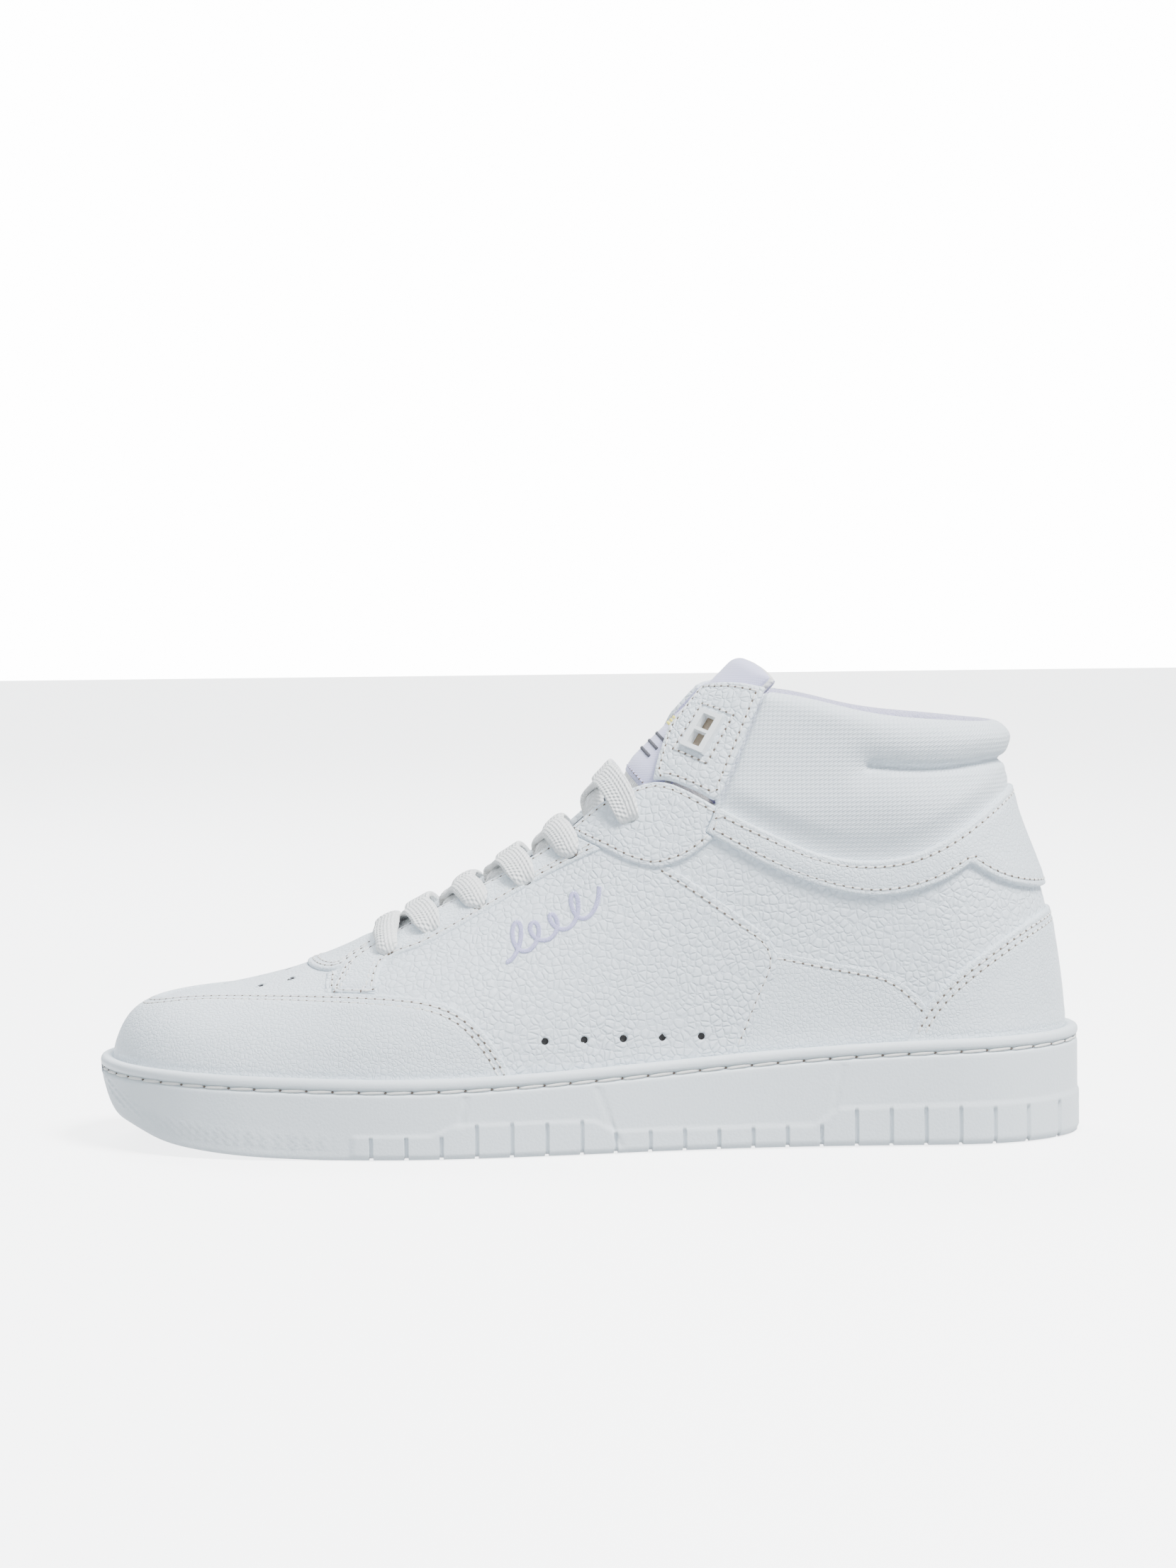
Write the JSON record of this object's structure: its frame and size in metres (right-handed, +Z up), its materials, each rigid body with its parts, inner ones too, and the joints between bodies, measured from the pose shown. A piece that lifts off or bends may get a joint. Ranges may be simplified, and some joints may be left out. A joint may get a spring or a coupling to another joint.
{
  "type": "basketball high top",
  "caption": "Padded leather basketball high top for the left foot, with a stitched cupsole, laced throat, hinged ankle flaps, folding tongue top and loose sockliner.",
  "frame": {"origin": "on the ground under the middle of the sole, at the centre of its length and of its greatest width", "axes": "+X towards the heel, -Y towards the outer (lateral) side of this left shoe, +Z up"},
  "size_m": [0.3, 0.1028, 0.1435],
  "materials": {
    "smooth_leather": "satin",
    "tumbled_leather": "satin",
    "lining_fabric": "matte",
    "canvas": "matte",
    "terry": "matte",
    "satin_label": "satin",
    "lace": "matte",
    "thread": "matte",
    "foam": "matte",
    "stiffener": "matte",
    "rubber": "matte",
    "plastic": "satin"
  },
  "bodies": {
    "shoe": {"cupsole": "rubber", "sole_stitching": "thread", "foam_midsole": "foam", "lasting_board": "lining_fabric", "vamp": "smooth_leather", "quarter_lateral": "tumbled_leather", "quarter_medial": "tumbled_leather", "rear_quarter_lateral": "tumbled_leather", "rear_quarter_medial": "tumbled_leather", "foxing_lateral": "smooth_leather", "foxing_medial": "smooth_leather", "toe_mudguard": "smooth_leather", "heel_counter_cover": "smooth_leather", "collar_band": "smooth_leather", "eyestay_lateral": "smooth_leather", "eyestay_medial": "smooth_leather", "ankle_panel_lateral": "tumbled_leather", "ankle_panel_medial": "tumbled_leather", "upper_lining": "lining_fabric", "toe_puff": "stiffener", "heel_stiffener": "stiffener", "collar_canvas": "canvas", "collar_foam": "foam", "collar_terry": "terry", "tongue_lower_face": "canvas", "tongue_lower_foam": "foam", "tongue_lower_lining": "lining_fabric", "tongue_base": "smooth_leather", "lace_lateral_start": "lace", "lace_medial_start": "lace"},
    "tongue_top": {"tongue_upper_face": "canvas", "tongue_upper_foam": "foam", "tongue_upper_lining": "terry", "tongue_label": "satin_label"},
    "flap_lateral": {"ankle_flap_lateral": "tumbled_leather", "eyelet_frame_lateral": "plastic"},
    "flap_medial": {"ankle_flap_medial": "tumbled_leather", "eyelet_frame_medial": "plastic"},
    "insole": {"sockliner": "terry"}
  },
  "joints": [
    {"name": "tongue_fold", "type": "hinge", "parent": "shoe", "child": "tongue_top", "pos_m": [0.009, 0, 0.113], "axis": [0, -1, 0], "range_deg": [0, 20]},
    {"name": "flap_lateral_open", "type": "hinge", "parent": "shoe", "child": "flap_lateral", "pos_m": [0.0389, -0.03112, 0.1024], "axis": [0.3826, 0.1818, 0.9058], "range_deg": [0, 55]},
    {"name": "flap_medial_open", "type": "hinge", "parent": "shoe", "child": "flap_medial", "pos_m": [0.0389, 0.02872, 0.1024], "axis": [-0.385, 0.1452, -0.9114], "range_deg": [0, 55]},
    {"name": "sockliner_lift", "type": "hinge", "parent": "shoe", "child": "insole", "pos_m": [-0.134, 0, 0.0195], "axis": [0, -1, 0], "range_deg": [0, 3]}
  ],
  "couplings": [
    {"joint": "flap_lateral_open", "follows": "tongue_fold", "ratio": 2.75},
    {"joint": "flap_medial_open", "follows": "tongue_fold", "ratio": 2.75}
  ]
}
